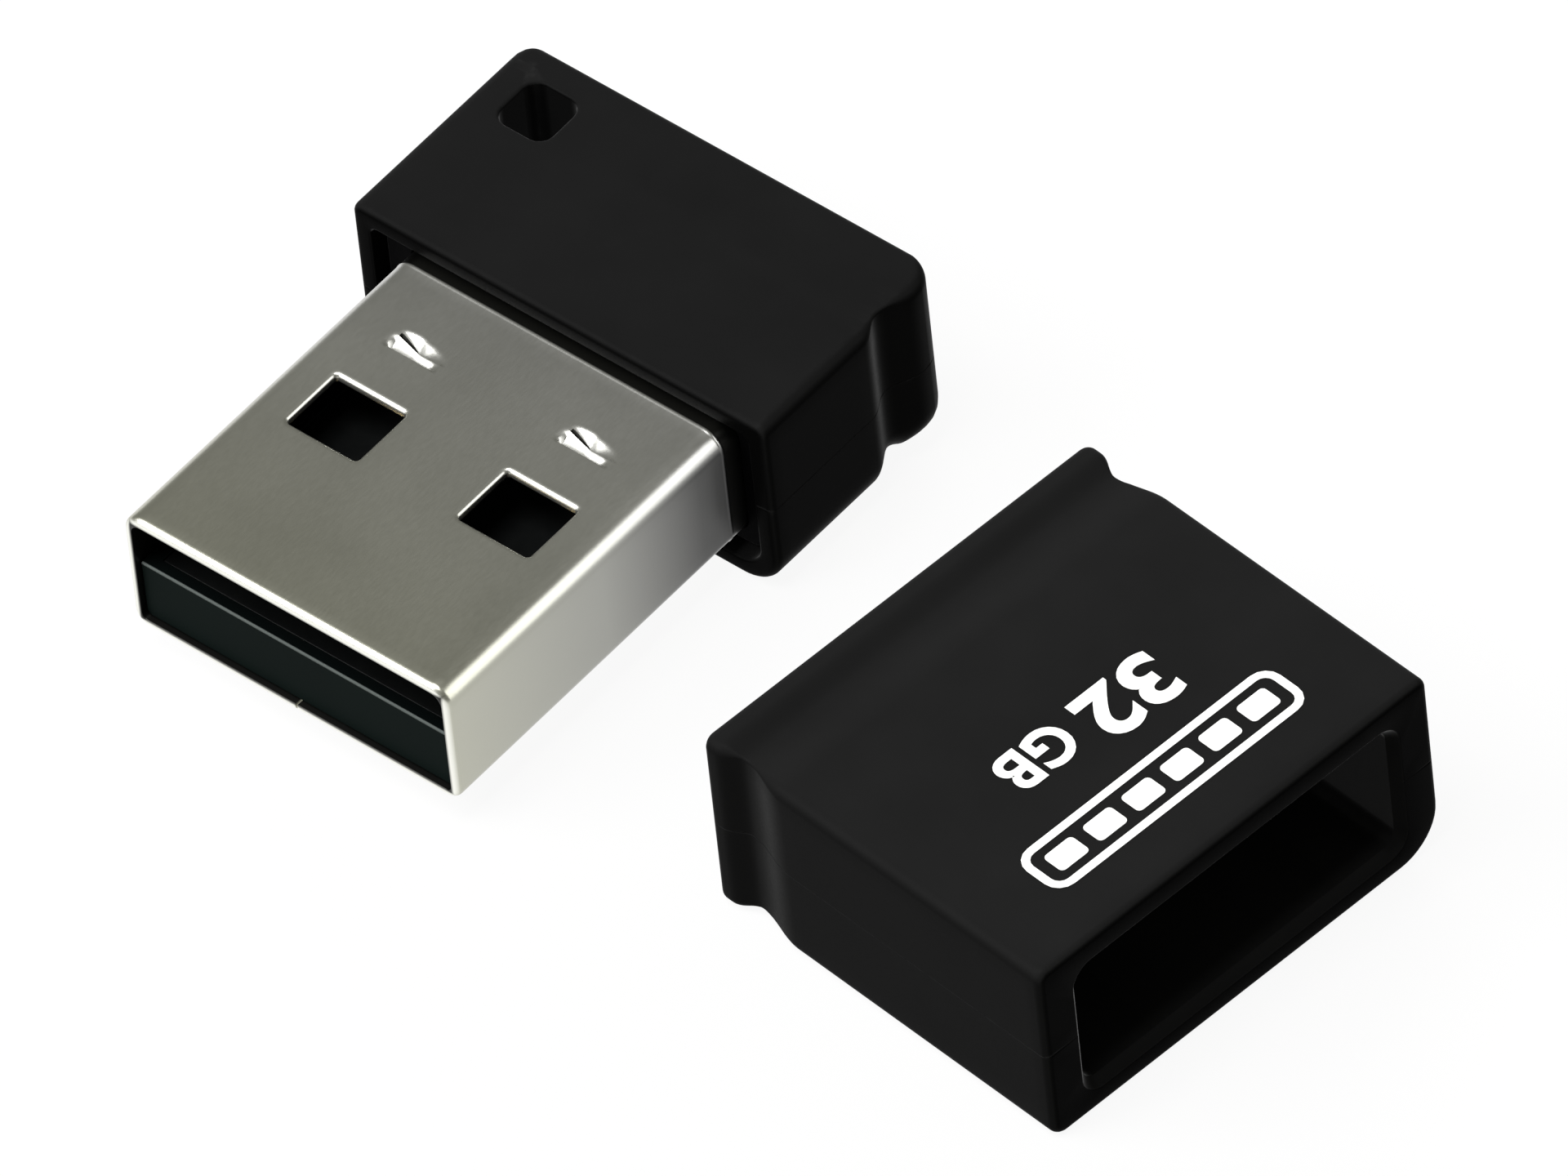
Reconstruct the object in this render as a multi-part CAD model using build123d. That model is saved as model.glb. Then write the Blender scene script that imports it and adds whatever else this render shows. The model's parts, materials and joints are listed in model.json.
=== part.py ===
"""A nano USB flash drive and its loose cap, in millimetres.

The drive stands on the flat base of its body. The origin is the centre of that base, +Z is up,
the plug points along -Y and the width runs along X.
The cap lies beside the drive on the same surface, turned about Z.
"""

from build123d import *
import math
import os

# Body and cap share one cross-section.
BODY_WIDTH = 15.2
BODY_HEIGHT = 6.8
BODY_DEPTH = 7.8
CAP_LENGTH = 13.5
SEAM_Z = BODY_HEIGHT / 2
TOP_RADIUS = 0.4
BOTTOM_RADIUS = 1.4
END_RADIUS = 0.25

# Grip grooves. start, deepest and end are distances from the end face with the lip.
# side, top and bottom are the groove's depths, and left is the share of them at the left side.
# lip_rise is how much higher the lip's underside is than the rest.
# corner_radii round the lip's upright corners, right and left.
BODY_GRIP = {
    "start": 1.1,
    "deepest": 2.3,
    "end": 3.35,
    "side": 0.4,
    "top": 0.15,
    "bottom": 0.5,
    "left": 0.0,
    "lip_rise": 0.25,
    "corner_radii": (1.0, 0.6),
}
CAP_GRIP = {
    "start": 0.5,
    "deepest": 1.4,
    "end": 3.2,
    "side": 0.38,
    "top": 0.22,
    "bottom": 0.3,
    "left": 1.0,
    "lip_rise": 0.0,
    "corner_radii": (0.3, 0.3),
}
GROOVE_STEPS = 6
END_STEPS = (0.0, 0.04, 0.12, END_RADIUS)
CORNER_SHARES = (0.2, 0.5, 1)
LEAST_LOW_RADIUS = 0.15
LEAST_TOP_RADIUS = 0.1

# Standard USB-A plug.
PLUG_WIDTH = 12.0
PLUG_HEIGHT = 4.5
PLUG_REACH = 12.1
SHEET = 0.3
SHELL_BASE_BEND = 0.5
SHELL_TOP_BEND = 0.68
PLUG_BOTTOM = 1.1
BODY_FRONT = -BODY_DEPTH / 2
BODY_BACK = BODY_DEPTH / 2
PLUG_TIP = BODY_FRONT - PLUG_REACH
SHELL_REAR = BODY_FRONT + 1.6
WINDOW_WIDTH = 2.6
WINDOW_LENGTH = 2.2
WINDOW_OFFSET = 3.15
WINDOW_FROM_TIP = 6.5
DIMPLE_WIDTH = 2.1
DIMPLE_LENGTH = 0.9
DIMPLE_DEPTH = 0.35
DIMPLE_FROM_TIP = 9.7
DIMPLE_SLOPE = (0.35, 0.2)
SLIT_LENGTH = 1.6
SLIT_WIDTH = 0.12
SEAM_GAP = 0.08
TAB_LENGTH = 1.9
TAB_HEIGHT = 1.2
TAB_OVERLAP = 0.5
TAB_DROP = 0.6

# Front of the body.
RIM = 0.65
RECESS_DEPTH = 0.6
COLLAR_THICKNESS = 1.2
COLLAR_BACK = BODY_FRONT + RECESS_DEPTH + COLLAR_THICKNESS
SEAT_RADII = (0.9, 0.3, 0.3, 0.9)
WALL = 0.9
BACK_WALL = 1.0
ROOM_RADII = (0.6, 0.3, 0.3, 0.6)
FIT = 0.03

# Lanyard hole, a rounded square through the rear left corner.
LANYARD_SIZE = 1.85
LANYARD_RADIUS = 0.45
LANYARD_X = -5.5
LANYARD_Y = BODY_FRONT + 5.8
LANYARD_WALL = 0.6

# Tongue, board and chips.
TONGUE_SETBACK = 0.2
TONGUE_HEIGHT = 2.15
TONGUE_RADII = (0.25, 0.05, 0.05, 0.25)
BOARD_THICKNESS = 0.6
BOARD_WIDTH = 10.4
BOARD_REAR = BODY_BACK - BACK_WALL - 0.35
BOARD_FRONT_LIP = 0.45
BOARD_NOTCH_GAP = 0.3
MEMORY_SIZE = (9.4, 10.4, 0.8)
MEMORY_SETBACK = 0.9
MEMORY_GAP = 0.1
BALL_HEIGHT = 0.15
BALL_RADIUS = 0.2
BALL_ROWS = 6
BALL_PITCH = (1.4, 1.5)
CONTACT_WIDTH = 1.0
CONTACT_THICKNESS = 0.08
CONTACT_SETBACK = 1.6
CONTACTS = {
    "contact_power": (3.5, 4.8),
    "contact_data_minus": (1.0, 4.2),
    "contact_data_plus": (-1.0, 4.2),
    "contact_ground": (-3.5, 4.8),
}
CONTROLLER_SIZE = (4.0, 3.9, 0.8)
CONTROLLER_CENTRE = (0.8, 0.25)
CRYSTAL_SIZE = (1.6, 2.0, 0.55)
CRYSTAL_CENTRE = (-2.6, -0.95)
CHIP_CAPACITOR = (0.5, 1.0, 0.5)
CAPACITOR_CENTRES = [(3.5, -1.2), (4.3, -1.2), (3.5, 0.2), (4.3, 0.2), (-2.0, 1.55)]
CHIP_RESISTOR = (0.5, 1.0, 0.35)
RESISTOR_CENTRES = [(3.5, 1.6), (4.3, 1.6), (-2.9, 1.55)]
SOLDER_HEIGHT = 0.5
SOLDER_LENGTH = 1.1
SOLDER_OVERLAP = 0.3
SOLDER_FROM_REAR = 0.4
SPACER_GAP = 0.1

TONGUE_BOTTOM = PLUG_BOTTOM + SHEET
TONGUE_TOP = TONGUE_BOTTOM + TONGUE_HEIGHT
TONGUE_LIFT = 0.02
BOARD_TOP = TONGUE_TOP - 0.05
BOARD_BOTTOM = BOARD_TOP - BOARD_THICKNESS
BOARD_FRONT = PLUG_TIP + TONGUE_SETBACK + BOARD_FRONT_LIP

# Cap.
CAP_CAVITY_DEPTH = 12.3
CAP_CAVITY_CLEARANCE = 0.1
CAP_CAVITY_RADIUS = 0.5
CAP_LEAD_IN = 0.25
RIB_WIDTH, RIB_LENGTH, RIB_HEIGHT = 0.6, 8.0, 0.08
RIB_X = 3.6
CAP_NEAR_BOTTOM_RADIUS = 0.5
CAP_FAR_BOTTOM_RADIUS = 1.6
CAP_MOUTH = (27.8, -7.75)
CAP_TURN = -96.3


def outline(x_left, x_right, lows, highs, radii):
    """Closed face in XY of a box outline with rounded corners.

    lows and highs give the height of the bottom and of the top, each at the left and at the right.
    radii run right low, right high, left high, left low.
    """
    low_right, high_right, high_left, low_left = radii
    corners = [
        (x_right - low_right, lows[1] + low_right, low_right, 270),
        (x_right - high_right, highs[1] - high_right, high_right, 0),
        (x_left + high_left, highs[0] - high_left, high_left, 90),
        (x_left + low_left, lows[0] + low_left, low_left, 180),
    ]
    arcs = [CenterArc((x, y), radius, start, 90) for x, y, radius, start in corners]
    sides = [Line(arcs[i] @ 1, arcs[(i + 1) % 4] @ 0) for i in range(4)]
    return make_face([edge for pair in zip(arcs, sides) for edge in pair])


def rounded_box(width, bottom, top, radii):
    """Level outline about the middle."""
    return outline(-width / 2, width / 2, (bottom, bottom), (top, top), radii)


def upright(y):
    """Plane across the drive at y, with its own x along X and its own y along Z."""
    return Plane(origin=(0, y, 0), x_dir=(1, 0, 0), z_dir=(0, -1, 0))


def rod(width, bottom, top, radii, front, back):
    """Straight bar along Y with a rounded section, from front to back."""
    return extrude(upright(back) * rounded_box(width, bottom, top, radii), back - front)


def block(size, centre, bottom):
    """Plain block of a chip or spacer that stands at the height bottom."""
    return Pos(centre[0], centre[1], bottom) * Box(*size, align=(Align.CENTER, Align.CENTER, Align.MIN))


def end_rounding(distance, radius):
    """How far a rounded end of that radius has drawn in, at a distance from the end face."""
    if distance >= radius:
        return 0.0
    return radius - math.sqrt(radius**2 - (radius - distance) ** 2)


def groove_share(distance, grip):
    """Depth of the grip groove from 0 to 1, at a distance from the lip's end face."""
    if distance <= grip["start"] or distance >= grip["end"]:
        return 0.0
    if distance < grip["deepest"]:
        phase = (distance - grip["start"]) / (grip["deepest"] - grip["start"])
    else:
        phase = (grip["end"] - distance) / (grip["end"] - grip["deepest"])
    return (1 - math.cos(math.pi * phase)) / 2


def stations(length, grip):
    """Distances from the lip's end face at which the outer form gets a section."""
    corners = [radius * share for radius in grip["corner_radii"] for share in CORNER_SHARES]
    lip = list(END_STEPS) + corners
    steps = [step / GROOVE_STEPS for step in range(GROOVE_STEPS + 1)]
    fall = [grip["start"] + (grip["deepest"] - grip["start"]) * step for step in steps]
    rise = [grip["deepest"] + (grip["end"] - grip["deepest"]) * step for step in steps]
    plain = [length - distance for distance in END_STEPS]
    return sorted({round(distance, 4) for distance in lip + fall + rise + plain})


def outer_form(length, grip, low_radii):
    """Solid outer form with its lip end at y = 0 and its plain end at y = -length.

    low_radii are the lower long edges' radii, right and left.
    """
    sections = []
    for distance in stations(length, grip):
        share = groove_share(distance, grip)
        end = end_rounding(min(distance, length - distance), END_RADIUS)
        right_end, left_end = (max(end, end_rounding(distance, radius)) for radius in grip["corner_radii"])
        rise = share * grip["bottom"]
        if distance < grip["deepest"]:
            rise = max(rise, grip["lip_rise"])
        side = share * grip["side"]
        left_share = grip["left"]
        right_edge = BODY_WIDTH / 2 - side - right_end
        left_edge = -BODY_WIDTH / 2 + side * left_share + left_end
        radii = (
            max(low_radii[0] - side - end, LEAST_LOW_RADIUS),
            max(TOP_RADIUS - side - end, LEAST_TOP_RADIUS),
            max(TOP_RADIUS - side * left_share - end, LEAST_TOP_RADIUS),
            max(low_radii[1] - side * left_share - end, LEAST_LOW_RADIUS),
        )
        lows = (rise * left_share + end, rise + end)
        drop = share * grip["top"]
        highs = (BODY_HEIGHT - drop * left_share - end, BODY_HEIGHT - drop - end)
        sections.append(upright(-distance) * outline(left_edge, right_edge, lows, highs, radii))
    return loft(sections, ruled=True)


def half(solid, upper):
    """The part of a solid above or below the joint at mid-height."""
    reach = 100
    side = Align.MIN if upper else Align.MAX
    return solid & Pos(0, 0, SEAM_Z) * Box(reach, reach, reach, align=(Align.CENTER, Align.CENTER, side))


def housing():
    """Whole hollow body, before it is parted at mid-height."""
    form = outer_form(BODY_DEPTH, BODY_GRIP, (BOTTOM_RADIUS, BOTTOM_RADIUS))
    form = Pos(0, BODY_BACK, 0) * form
    seat = rod(BODY_WIDTH - 2 * RIM, RIM, BODY_HEIGHT - RIM, SEAT_RADII, BODY_FRONT - 1, COLLAR_BACK)
    room_back = BODY_BACK - BACK_WALL
    room = rod(BODY_WIDTH - 2 * WALL, WALL, BODY_HEIGHT - WALL, ROOM_RADII, BODY_FRONT, room_back)
    room -= lanyard_post()
    return form - seat - room - lanyard_hole()


def lanyard_post():
    """Solid corner that the lanyard hole goes through."""
    size = LANYARD_SIZE + 2 * LANYARD_WALL
    return block((size, size, BODY_HEIGHT), (LANYARD_X, LANYARD_Y), 0)


def lanyard_hole():
    """Rounded square bar that cuts the hole."""
    square = Pos(LANYARD_X, LANYARD_Y, -1) * RectangleRounded(LANYARD_SIZE, LANYARD_SIZE, LANYARD_RADIUS)
    return extrude(square, BODY_HEIGHT + 2)


def shell_section(grow, front, back):
    """Bar with the plug shell's outer section, grown by a distance on every side."""
    base, top = SHELL_BASE_BEND + grow, SHELL_TOP_BEND + grow
    low, high = PLUG_BOTTOM - grow, PLUG_BOTTOM + PLUG_HEIGHT + grow
    return rod(PLUG_WIDTH + 2 * grow, low, high, (base, top, top, base), front, back)


def plug_collar():
    """Plate in the body's mouth that the plug comes through."""
    front = BODY_FRONT + RECESS_DEPTH
    edge = RIM + FIT
    radii = [radius - FIT for radius in SEAT_RADII]
    plate = rod(BODY_WIDTH - 2 * edge, edge, BODY_HEIGHT - edge, radii, front, COLLAR_BACK)
    return plate - shell_section(FIT, front - 1, COLLAR_BACK + 1)


def plug_shell():
    """Folded steel tube with windows, dimples, seam and solder tabs."""
    shell = shell_section(0, PLUG_TIP, SHELL_REAR) - shell_section(-SHEET, PLUG_TIP - 1, SHELL_REAR + 1)
    for side in (-1, 1):
        window_centre = (side * WINDOW_OFFSET, PLUG_TIP + WINDOW_FROM_TIP)
        shell -= block((WINDOW_WIDTH, WINDOW_LENGTH, BODY_HEIGHT), window_centre, 0)
        shell = dimple(shell, side * WINDOW_OFFSET)
        tab_centre = (side * (PLUG_WIDTH - SHEET) / 2, SHELL_REAR + (TAB_LENGTH - TAB_OVERLAP) / 2)
        shell += block((SHEET, TAB_LENGTH + TAB_OVERLAP, TAB_HEIGHT), tab_centre, BOARD_TOP - TAB_DROP)
    length = SHELL_REAR - PLUG_TIP
    seam = block((SEAM_GAP, length + 2, 2 * SHEET), (0, PLUG_TIP + length / 2), PLUG_BOTTOM - SHEET / 2)
    return shell - seam


def dimple(shell, x):
    """Presses one oval retaining dimple into the shell's top and cuts the slit across it."""
    place = Pos(x, PLUG_TIP + DIMPLE_FROM_TIP, PLUG_BOTTOM + PLUG_HEIGHT)
    oval = Ellipse(DIMPLE_WIDTH / 2, DIMPLE_LENGTH / 2)
    floor = Ellipse(DIMPLE_WIDTH / 2 - DIMPLE_SLOPE[0], DIMPLE_LENGTH / 2 - DIMPLE_SLOPE[1])
    cup = place * Pos(0, 0, -DIMPLE_DEPTH - SHEET) * extrude(oval, DIMPLE_DEPTH + SHEET)
    hollow = place * loft([oval, Pos(0, 0, -DIMPLE_DEPTH) * floor])
    slit = place * Box(SLIT_LENGTH, SLIT_WIDTH, 3)
    return shell + cup - hollow - slit


def contact_carrier():
    """Plastic tongue, with room for the board above and for the memory chip below."""
    width = PLUG_WIDTH - 2 * SHEET - 2 * FIT
    front = PLUG_TIP + TONGUE_SETBACK
    carrier = rod(width, TONGUE_BOTTOM + TONGUE_LIFT, TONGUE_TOP, TONGUE_RADII, front, COLLAR_BACK)
    board_room = block(
        (BOARD_WIDTH + 2 * FIT, COLLAR_BACK - BOARD_FRONT + 2, BOARD_THICKNESS + 1),
        (0, (COLLAR_BACK + BOARD_FRONT) / 2 + 1 - FIT),
        BOARD_BOTTOM,
    )
    depth = MEMORY_SIZE[2] + BALL_HEIGHT + MEMORY_GAP
    pocket_size = (MEMORY_SIZE[0] + 2 * MEMORY_GAP, MEMORY_SIZE[1] + 2 * MEMORY_GAP, depth + MEMORY_GAP)
    return carrier - board_room - block(pocket_size, memory_centre(), BOARD_BOTTOM - depth)


def memory_centre():
    return (0, BOARD_FRONT + MEMORY_SETBACK + MEMORY_SIZE[1] / 2)


def memory_chip():
    return block(MEMORY_SIZE, memory_centre(), BOARD_BOTTOM - BALL_HEIGHT - MEMORY_SIZE[2])


def memory_solder_balls():
    """Square grid of solder balls between the memory chip and the board."""
    cx, cy = memory_centre()
    offsets = [index - (BALL_ROWS - 1) / 2 for index in range(BALL_ROWS)]
    ball = Cylinder(BALL_RADIUS, BALL_HEIGHT)
    height = BOARD_BOTTOM - BALL_HEIGHT / 2
    return [
        Pos(cx + BALL_PITCH[0] * across, cy + BALL_PITCH[1] * along, height) * ball
        for across in offsets
        for along in offsets
    ]


def contact(x, length):
    start = PLUG_TIP + TONGUE_SETBACK + CONTACT_SETBACK
    return block((CONTACT_WIDTH, length, CONTACT_THICKNESS), (x, start + length / 2), BOARD_TOP)


def circuit_board():
    length = BOARD_REAR - BOARD_FRONT
    board = block((BOARD_WIDTH, length, BOARD_THICKNESS), (0, BOARD_FRONT + length / 2), BOARD_BOTTOM)
    notch = LANYARD_SIZE + 2 * LANYARD_WALL + BOARD_NOTCH_GAP
    return board - block((notch, notch + 1, 2), (LANYARD_X, LANYARD_Y + 0.5), BOARD_BOTTOM - 0.5)


def chips(size, centres):
    return [block(size, centre, BOARD_TOP) for centre in centres]


def shell_solder():
    """Two wedges of solder between the shell's tabs and the board's edges."""
    inner = BOARD_WIDTH / 2 - SOLDER_OVERLAP
    outer = PLUG_WIDTH / 2 - SHEET
    wedge = Polyline((inner, BOARD_TOP), (outer, BOARD_TOP), (outer, BOARD_TOP + SOLDER_HEIGHT), close=True)
    back = SHELL_REAR + SOLDER_FROM_REAR + SOLDER_LENGTH
    right = extrude(upright(back) * make_face(wedge), SOLDER_LENGTH)
    return [right, mirror(right, about=Plane.YZ)]


def rear_spacer():
    """Block under the board's rear end."""
    front = COLLAR_BACK
    back = BODY_BACK - BACK_WALL - FIT
    left = LANYARD_X + LANYARD_SIZE / 2 + LANYARD_WALL + SPACER_GAP
    right = BOARD_WIDTH / 2
    size = (right - left, back - front, BOARD_BOTTOM - WALL - FIT)
    return block(size, ((left + right) / 2, (front + back) / 2), WALL + FIT / 2)


def cap():
    """Whole cap in its own frame: mouth at y = 0 facing +Y, base at z = 0."""
    low_radii = (CAP_FAR_BOTTOM_RADIUS, CAP_NEAR_BOTTOM_RADIUS)
    form = outer_form(CAP_LENGTH, CAP_GRIP, low_radii)
    form = Pos(0, -CAP_LENGTH, 0) * Rot(0, 0, 180) * form
    gap = CAP_CAVITY_CLEARANCE
    bottom, top = PLUG_BOTTOM - gap, PLUG_BOTTOM + PLUG_HEIGHT + gap
    width = PLUG_WIDTH + 2 * gap
    cavity = rod(width, bottom, top, (CAP_CAVITY_RADIUS,) * 4, -CAP_CAVITY_DEPTH, 1)
    lead_in = []
    for y, grow in ((-CAP_LEAD_IN, 0), (0.01, CAP_LEAD_IN)):
        radii = (CAP_CAVITY_RADIUS + grow,) * 4
        lead_in.append(upright(y) * rounded_box(width + 2 * grow, bottom - grow, top + grow, radii))
    hollow = form - cavity - loft(lead_in, ruled=True)
    for x in (-RIB_X, RIB_X):
        for level in (bottom - RIB_HEIGHT, top - RIB_HEIGHT):
            size = (RIB_WIDTH, RIB_LENGTH, 2 * RIB_HEIGHT)
            hollow += block(size, (x, -CAP_CAVITY_DEPTH + RIB_LENGTH / 2), level)
    return hollow


def placed_cap(solid):
    """Moves a piece of the cap from its own frame to where the cap lies beside the drive."""
    return Pos(CAP_MOUTH[0], CAP_MOUTH[1], 0) * Rot(0, 0, CAP_TURN) * solid


def pieces():
    """Every node's shape, or its list of separate shapes."""
    body = housing()
    whole_cap = cap()
    made = {
        "upper_housing": half(body, True),
        "lower_housing": half(body, False),
        "plug_collar": plug_collar(),
        "plug_shell": plug_shell(),
        "contact_carrier": contact_carrier(),
        "circuit_board": circuit_board(),
        "memory_chip": memory_chip(),
        "memory_solder_balls": memory_solder_balls(),
        "controller_chip": block(CONTROLLER_SIZE, CONTROLLER_CENTRE, BOARD_TOP),
        "crystal": block(CRYSTAL_SIZE, CRYSTAL_CENTRE, BOARD_TOP),
        "capacitors": chips(CHIP_CAPACITOR, CAPACITOR_CENTRES),
        "resistors": chips(CHIP_RESISTOR, RESISTOR_CENTRES),
        "shell_solder": shell_solder(),
        "rear_spacer": rear_spacer(),
        "cap_upper_shell": placed_cap(half(whole_cap, True)),
        "cap_lower_shell": placed_cap(half(whole_cap, False)),
    }
    for name, (x, length) in CONTACTS.items():
        made[name] = contact(x, length)
    return made


os.makedirs("parts", exist_ok=True)
for node, shape in pieces().items():
    if isinstance(shape, list):
        shape = Compound(children=shape)
    export_step(shape, f"parts/{node}.step")
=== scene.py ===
"""A nano USB flash drive and its loose cap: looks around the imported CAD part.

Lengths in this file are millimetres until a mesh is made, in the frame of the CAD part: +Z up and the plug
along -Y. The cap has a frame of its own, with its mouth at y = 0 facing +Y and its closed end towards -Y.
"""

import json
import math

import bmesh
import bpy
import numpy as np
from mathutils import Matrix, Vector
from mathutils.geometry import tessellate_polygon


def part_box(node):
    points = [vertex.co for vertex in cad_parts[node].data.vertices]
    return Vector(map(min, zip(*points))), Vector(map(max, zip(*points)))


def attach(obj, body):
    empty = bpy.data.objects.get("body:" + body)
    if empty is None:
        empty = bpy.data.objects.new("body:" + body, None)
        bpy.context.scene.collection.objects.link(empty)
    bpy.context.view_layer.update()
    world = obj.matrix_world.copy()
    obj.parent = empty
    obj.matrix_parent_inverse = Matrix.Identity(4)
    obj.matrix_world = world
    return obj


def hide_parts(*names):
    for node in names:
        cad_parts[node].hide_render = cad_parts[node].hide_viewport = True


MM = 0.001
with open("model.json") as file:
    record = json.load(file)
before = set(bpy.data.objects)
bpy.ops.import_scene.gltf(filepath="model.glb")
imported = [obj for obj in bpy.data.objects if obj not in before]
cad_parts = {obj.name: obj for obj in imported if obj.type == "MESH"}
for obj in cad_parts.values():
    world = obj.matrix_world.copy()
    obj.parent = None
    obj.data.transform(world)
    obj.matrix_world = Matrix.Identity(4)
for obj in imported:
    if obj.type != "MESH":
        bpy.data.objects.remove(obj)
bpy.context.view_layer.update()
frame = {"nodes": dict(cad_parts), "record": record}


def node_box(*names):
    """Lowest and highest corner of CAD nodes, in millimetres."""
    boxes = [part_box(name) for name in names]
    low = [min(box[0][i] for box in boxes) / MM for i in range(3)]
    high = [max(box[1][i] for box in boxes) / MM for i in range(3)]
    return low, high


# -------- sizes
BODY_LOW, BODY_HIGH = node_box("upper_housing", "lower_housing")
PLUG_LOW, PLUG_HIGH = node_box("plug_shell")
WIDTH = BODY_HIGH[0] - BODY_LOW[0]
HEIGHT = BODY_HIGH[2]
SEAM_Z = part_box("upper_housing")[0][2] / MM
BODY_FRONT, BODY_BACK = BODY_LOW[1], BODY_HIGH[1]
BODY_DEPTH = BODY_BACK - BODY_FRONT
CAP_LENGTH = 13.5
TOP_RADIUS = 0.4
BOTTOM_RADIUS = 1.4
BODY_LOW_RADII = (BOTTOM_RADIUS, BOTTOM_RADIUS)
CAP_LOW_RADII = (1.6, 0.5)
END_RADIUS = 0.25
SEAM_CHAMFER = 0.022
SIDE_SHARES = (0.0, 0.02, 0.08, 0.3, 0.55, 0.8)

# Grip grooves beside the lip: distances from the lip's end, and how far each face is drawn in. "left" is
# the share of the groove on the left side. "corner_radii" round the lip's right and left corners in plan.
BODY_GRIP = {
    "start": 1.1, "deepest": 2.3, "end": 3.35,
    "side": 0.4, "top": 0.15, "bottom": 0.5,
    "left": 0.0, "lip_rise": 0.25, "corner_radii": (1.0, 0.6),
}
CAP_GRIP = {
    "start": 0.5, "deepest": 1.4, "end": 3.2,
    "side": 0.38, "top": 0.22, "bottom": 0.3,
    "left": 1.0, "lip_rise": 0.0, "corner_radii": (0.3, 0.3),
}

# Where the cap lies: the middle of its mouth, and its turn about Z in degrees.
CAP_MOUTH = (27.8, -7.75)
CAP_TURN = -96.3

# Front opening of the body, the room inside it and the lanyard hole.
RIM = 0.65
RIM_BEVEL = 0.08
SEAT_RADII = (0.9, 0.3)
COLLAR_BACK = BODY_FRONT + 1.8
WALL = 0.9
ROOM_RADII = (0.6, 0.3)
BACK_WALL = 1.0
HOLE_SIZE = 1.85
HOLE_RADIUS = 0.45
HOLE_BEVEL = 0.1
HOLE_X = -5.5
HOLE_Y = BODY_FRONT + 5.8
HOLE_MARGIN = 0.325
HOLE_WALL = 0.6

# Cavity of the cap, its lead-in and its grip ribs, and the thickness of the ink on its top.
CAVITY_WIDTH = 12.2
CAVITY_LOW, CAVITY_HIGH = 1.0, 5.7
CAVITY_RADIUS = 0.5
CAVITY_DEPTH = 12.3
LEAD_IN = 0.25
LEAD_BEVEL = 0.06
RIB_X, RIB_HALF, RIB_HEIGHT, RIB_LENGTH = 3.6, 0.3, 0.08, 8.0
RIB_RAMP = 0.15
RIB_EDGE = 0.03
INK = 0.012

# Spacing and ends of mesh lines.
HOLE_STEP, FLAT_STEP = 0.14, 0.35
GROOVE_STEP, PLAIN_STEP = 0.09, 0.4
TOP_LINES_END, BASE_LINES, LAST_ANGLES = 6.0, (-5.7, 5.3), (73, 79, 84.5, 90)
CAP_STEP, CAP_LINES, RIB_CLEAR = 0.5, (-5.3, 5.4), 0.1
CLOSEST = 0.012
STEP_BACK = 0.001
PATCH_SHARES = (0.4, 0.75)
SHARP = math.radians(40)


# -------- outer form of body and cap
def end_rounding(distance, radius):
    """How far a face is drawn in at a distance from an end that is rounded with a radius."""
    if distance >= radius:
        return 0.0
    return radius - math.sqrt(max(radius**2 - (radius - distance) ** 2, 0.0))


def groove_share(distance, grip):
    """Depth of the grip groove at a distance from the lip's end, from 0 to 1."""
    if distance <= grip["start"] or distance >= grip["end"]:
        return 0.0
    if distance < grip["deepest"]:
        phase = (distance - grip["start"]) / (grip["deepest"] - grip["start"])
    else:
        phase = (grip["end"] - distance) / (grip["end"] - grip["deepest"])
    return (1 - math.cos(math.pi * phase)) / 2


def section(distance, length, grip, low_radii):
    """Outline of body or cap at a distance from the end with the lip."""
    share = groove_share(distance, grip)
    end = end_rounding(min(distance, length - distance), END_RADIUS)
    right_end, left_end = (max(end, end_rounding(distance, radius)) for radius in grip["corner_radii"])
    rise = share * grip["bottom"]
    if distance < grip["deepest"]:
        rise = max(rise, grip["lip_rise"])
    side = share * grip["side"]
    left = grip["left"]
    drop = share * grip["top"]
    return {
        "x": (-WIDTH / 2 + side * left + left_end, WIDTH / 2 - side - right_end),
        "low": (rise * left + end, rise + end),
        "high": (HEIGHT - drop * left - end, HEIGHT - drop - end),
        "low_r": (max(low_radii[1] - side * left - end, 0.15), max(low_radii[0] - side - end, 0.15)),
        "high_r": (max(TOP_RADIUS - side * left - end, 0.1), max(TOP_RADIUS - side - end, 0.1)),
    }


def clamped(value):
    return min(max(value, 0.0), 1.0)


def smooth_step(value):
    """Rises from 0 to 1 with a soft start and end."""
    value = clamped(value)
    return value * value * (3 - 2 * value)


def box_section(width, low, high, radii):
    """Outline of a straight opening. radii are those of its lower and upper corners."""
    return {
        "x": (-width / 2, width / 2),
        "low": (low, low),
        "high": (high, high),
        "low_r": (radii[0], radii[0]),
        "high_r": (radii[1], radii[1]),
    }


def fitted_lines(lines, low, high):
    """Lines across a face, squeezed where they would run past its ends."""
    margin = 0.03
    if lines[0] >= low + margin and lines[-1] <= high - margin:
        return list(lines)
    span = lines[-1] - lines[0]
    return [low + margin + (x - lines[0]) / span * (high - low - 2 * margin) for x in lines]


def face_of(shape, upper):
    """Heights and corner radii, each (left, right), of an outline's upper or lower face."""
    return (shape["high"], shape["high_r"]) if upper else (shape["low"], shape["low_r"])


def circle_point(radius, angle):
    """Offsets (across, up) of a point on a circle, at an angle in degrees from the side."""
    turn = math.radians(angle)
    return radius * math.cos(turn), radius * math.sin(turn)


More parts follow.
